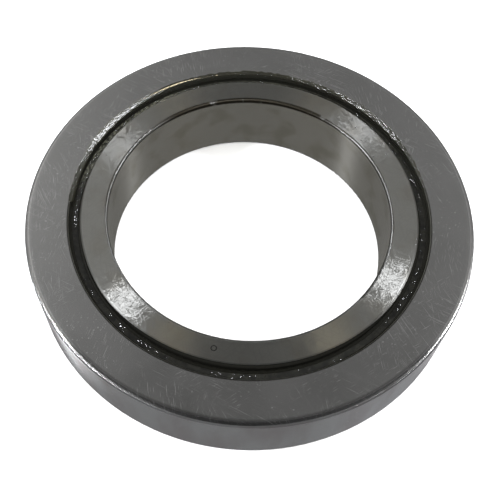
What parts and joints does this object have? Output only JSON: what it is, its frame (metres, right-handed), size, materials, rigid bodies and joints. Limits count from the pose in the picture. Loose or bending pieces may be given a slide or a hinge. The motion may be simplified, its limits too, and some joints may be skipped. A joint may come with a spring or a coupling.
{
  "type": "angular contact ball bearing",
  "caption": "Open angular contact ball bearing: an outer and an inner steel ring with a row of caged balls between them, carrying a shaft's radial load and its thrust from one side.",
  "frame": {"origin": "centre of the bearing, on the bore's axis at half its width", "axes": "+Z along the bore's axis, towards the side with the outer ring's wide face; X passes through ball_01"},
  "size_m": [0.09, 0.09, 0.015],
  "materials": {
    "outer_ring_steel": "ground",
    "inner_ring_steel": "turned and ground",
    "cage_resin": "moulded, oily",
    "ball_steel": "polished"
  },
  "bodies": {
    "outer_ring": {"outer_ring": "outer_ring_steel"},
    "inner_ring": {"inner_ring": "inner_ring_steel"},
    "cage": {"cage": "cage_resin"},
    "ball_01": {"ball_01": "ball_steel"},
    "ball_02": {"ball_02": "ball_steel"},
    "ball_03": {"ball_03": "ball_steel"},
    "ball_04": {"ball_04": "ball_steel"},
    "ball_05": {"ball_05": "ball_steel"},
    "ball_06": {"ball_06": "ball_steel"},
    "ball_07": {"ball_07": "ball_steel"},
    "ball_08": {"ball_08": "ball_steel"},
    "ball_09": {"ball_09": "ball_steel"},
    "ball_10": {"ball_10": "ball_steel"},
    "ball_11": {"ball_11": "ball_steel"},
    "ball_12": {"ball_12": "ball_steel"},
    "ball_13": {"ball_13": "ball_steel"},
    "ball_14": {"ball_14": "ball_steel"},
    "ball_15": {"ball_15": "ball_steel"},
    "ball_16": {"ball_16": "ball_steel"},
    "ball_17": {"ball_17": "ball_steel"},
    "ball_18": {"ball_18": "ball_steel"},
    "ball_19": {"ball_19": "ball_steel"},
    "ball_20": {"ball_20": "ball_steel"},
    "ball_21": {"ball_21": "ball_steel"},
    "ball_22": {"ball_22": "ball_steel"},
    "ball_23": {"ball_23": "ball_steel"},
    "ball_24": {"ball_24": "ball_steel"},
    "ball_25": {"ball_25": "ball_steel"},
    "ball_26": {"ball_26": "ball_steel"}
  },
  "joints": [
    {"name": "inner_ring_spin", "type": "hinge", "parent": "outer_ring", "child": "inner_ring", "pos_m": [0, 0, 0], "axis": [0, 0, 1], "continuous": true},
    {"name": "cage_orbit", "type": "hinge", "parent": "outer_ring", "child": "cage", "pos_m": [0, 0, 0], "axis": [0, 0, 1], "continuous": true},
    {"name": "ball_01_roll", "type": "hinge", "parent": "cage", "child": "ball_01", "pos_m": [0.03675, 0, 0], "axis": [-0.866, 0, 0.5], "continuous": true},
    {"name": "ball_02_roll", "type": "hinge", "parent": "cage", "child": "ball_02", "pos_m": [0.03568, 0.00879, 0], "axis": [-0.8409, -0.2073, 0.5], "continuous": true},
    {"name": "ball_03_roll", "type": "hinge", "parent": "cage", "child": "ball_03", "pos_m": [0.03254, 0.01708, 0], "axis": [-0.7668, -0.4025, 0.5], "continuous": true},
    {"name": "ball_04_roll", "type": "hinge", "parent": "cage", "child": "ball_04", "pos_m": [0.02751, 0.02437, 0], "axis": [-0.6482, -0.5743, 0.5], "continuous": true},
    {"name": "ball_05_roll", "type": "hinge", "parent": "cage", "child": "ball_05", "pos_m": [0.02088, 0.03024, 0], "axis": [-0.492, -0.7127, 0.5], "continuous": true},
    {"name": "ball_06_roll", "type": "hinge", "parent": "cage", "child": "ball_06", "pos_m": [0.01303, 0.03436, 0], "axis": [-0.3071, -0.8097, 0.5], "continuous": true},
    {"name": "ball_07_roll", "type": "hinge", "parent": "cage", "child": "ball_07", "pos_m": [0.00443, 0.03648, 0], "axis": [-0.1044, -0.8597, 0.5], "continuous": true},
    {"name": "ball_08_roll", "type": "hinge", "parent": "cage", "child": "ball_08", "pos_m": [-0.00443, 0.03648, 0], "axis": [0.1044, -0.8597, 0.5], "continuous": true},
    {"name": "ball_09_roll", "type": "hinge", "parent": "cage", "child": "ball_09", "pos_m": [-0.01303, 0.03436, 0], "axis": [0.3071, -0.8097, 0.5], "continuous": true},
    {"name": "ball_10_roll", "type": "hinge", "parent": "cage", "child": "ball_10", "pos_m": [-0.02088, 0.03024, 0], "axis": [0.492, -0.7127, 0.5], "continuous": true},
    {"name": "ball_11_roll", "type": "hinge", "parent": "cage", "child": "ball_11", "pos_m": [-0.02751, 0.02437, 0], "axis": [0.6482, -0.5743, 0.5], "continuous": true},
    {"name": "ball_12_roll", "type": "hinge", "parent": "cage", "child": "ball_12", "pos_m": [-0.03254, 0.01708, 0], "axis": [0.7668, -0.4025, 0.5], "continuous": true},
    {"name": "ball_13_roll", "type": "hinge", "parent": "cage", "child": "ball_13", "pos_m": [-0.03568, 0.00879, 0], "axis": [0.8409, -0.2073, 0.5], "continuous": true},
    {"name": "ball_14_roll", "type": "hinge", "parent": "cage", "child": "ball_14", "pos_m": [-0.03675, 0, 0], "axis": [0.866, 0, 0.5], "continuous": true},
    {"name": "ball_15_roll", "type": "hinge", "parent": "cage", "child": "ball_15", "pos_m": [-0.03568, -0.00879, 0], "axis": [0.8409, 0.2073, 0.5], "continuous": true},
    {"name": "ball_16_roll", "type": "hinge", "parent": "cage", "child": "ball_16", "pos_m": [-0.03254, -0.01708, 0], "axis": [0.7668, 0.4025, 0.5], "continuous": true},
    {"name": "ball_17_roll", "type": "hinge", "parent": "cage", "child": "ball_17", "pos_m": [-0.02751, -0.02437, 0], "axis": [0.6482, 0.5743, 0.5], "continuous": true},
    {"name": "ball_18_roll", "type": "hinge", "parent": "cage", "child": "ball_18", "pos_m": [-0.02088, -0.03024, 0], "axis": [0.492, 0.7127, 0.5], "continuous": true},
    {"name": "ball_19_roll", "type": "hinge", "parent": "cage", "child": "ball_19", "pos_m": [-0.01303, -0.03436, 0], "axis": [0.3071, 0.8097, 0.5], "continuous": true},
    {"name": "ball_20_roll", "type": "hinge", "parent": "cage", "child": "ball_20", "pos_m": [-0.00443, -0.03648, 0], "axis": [0.1044, 0.8597, 0.5], "continuous": true},
    {"name": "ball_21_roll", "type": "hinge", "parent": "cage", "child": "ball_21", "pos_m": [0.00443, -0.03648, 0], "axis": [-0.1044, 0.8597, 0.5], "continuous": true},
    {"name": "ball_22_roll", "type": "hinge", "parent": "cage", "child": "ball_22", "pos_m": [0.01303, -0.03436, 0], "axis": [-0.3071, 0.8097, 0.5], "continuous": true},
    {"name": "ball_23_roll", "type": "hinge", "parent": "cage", "child": "ball_23", "pos_m": [0.02088, -0.03024, 0], "axis": [-0.492, 0.7127, 0.5], "continuous": true},
    {"name": "ball_24_roll", "type": "hinge", "parent": "cage", "child": "ball_24", "pos_m": [0.02751, -0.02437, 0], "axis": [-0.6482, 0.5743, 0.5], "continuous": true},
    {"name": "ball_25_roll", "type": "hinge", "parent": "cage", "child": "ball_25", "pos_m": [0.03254, -0.01708, 0], "axis": [-0.7668, 0.4025, 0.5], "continuous": true},
    {"name": "ball_26_roll", "type": "hinge", "parent": "cage", "child": "ball_26", "pos_m": [0.03568, -0.00879, 0], "axis": [-0.8409, 0.2073, 0.5], "continuous": true}
  ],
  "couplings": [
    {"joint": "cage_orbit", "follows": "inner_ring_spin", "ratio": 0.4757},
    {"joint": "ball_01_roll", "follows": "inner_ring_spin", "ratio": -5.132},
    {"joint": "ball_02_roll", "follows": "inner_ring_spin", "ratio": -5.132},
    {"joint": "ball_03_roll", "follows": "inner_ring_spin", "ratio": -5.132},
    {"joint": "ball_04_roll", "follows": "inner_ring_spin", "ratio": -5.132},
    {"joint": "ball_05_roll", "follows": "inner_ring_spin", "ratio": -5.132},
    {"joint": "ball_06_roll", "follows": "inner_ring_spin", "ratio": -5.132},
    {"joint": "ball_07_roll", "follows": "inner_ring_spin", "ratio": -5.132},
    {"joint": "ball_08_roll", "follows": "inner_ring_spin", "ratio": -5.132},
    {"joint": "ball_09_roll", "follows": "inner_ring_spin", "ratio": -5.132},
    {"joint": "ball_10_roll", "follows": "inner_ring_spin", "ratio": -5.132},
    {"joint": "ball_11_roll", "follows": "inner_ring_spin", "ratio": -5.132},
    {"joint": "ball_12_roll", "follows": "inner_ring_spin", "ratio": -5.132},
    {"joint": "ball_13_roll", "follows": "inner_ring_spin", "ratio": -5.132},
    {"joint": "ball_14_roll", "follows": "inner_ring_spin", "ratio": -5.132},
    {"joint": "ball_15_roll", "follows": "inner_ring_spin", "ratio": -5.132},
    {"joint": "ball_16_roll", "follows": "inner_ring_spin", "ratio": -5.132},
    {"joint": "ball_17_roll", "follows": "inner_ring_spin", "ratio": -5.132},
    {"joint": "ball_18_roll", "follows": "inner_ring_spin", "ratio": -5.132},
    {"joint": "ball_19_roll", "follows": "inner_ring_spin", "ratio": -5.132},
    {"joint": "ball_20_roll", "follows": "inner_ring_spin", "ratio": -5.132},
    {"joint": "ball_21_roll", "follows": "inner_ring_spin", "ratio": -5.132},
    {"joint": "ball_22_roll", "follows": "inner_ring_spin", "ratio": -5.132},
    {"joint": "ball_23_roll", "follows": "inner_ring_spin", "ratio": -5.132},
    {"joint": "ball_24_roll", "follows": "inner_ring_spin", "ratio": -5.132},
    {"joint": "ball_25_roll", "follows": "inner_ring_spin", "ratio": -5.132},
    {"joint": "ball_26_roll", "follows": "inner_ring_spin", "ratio": -5.132}
  ]
}
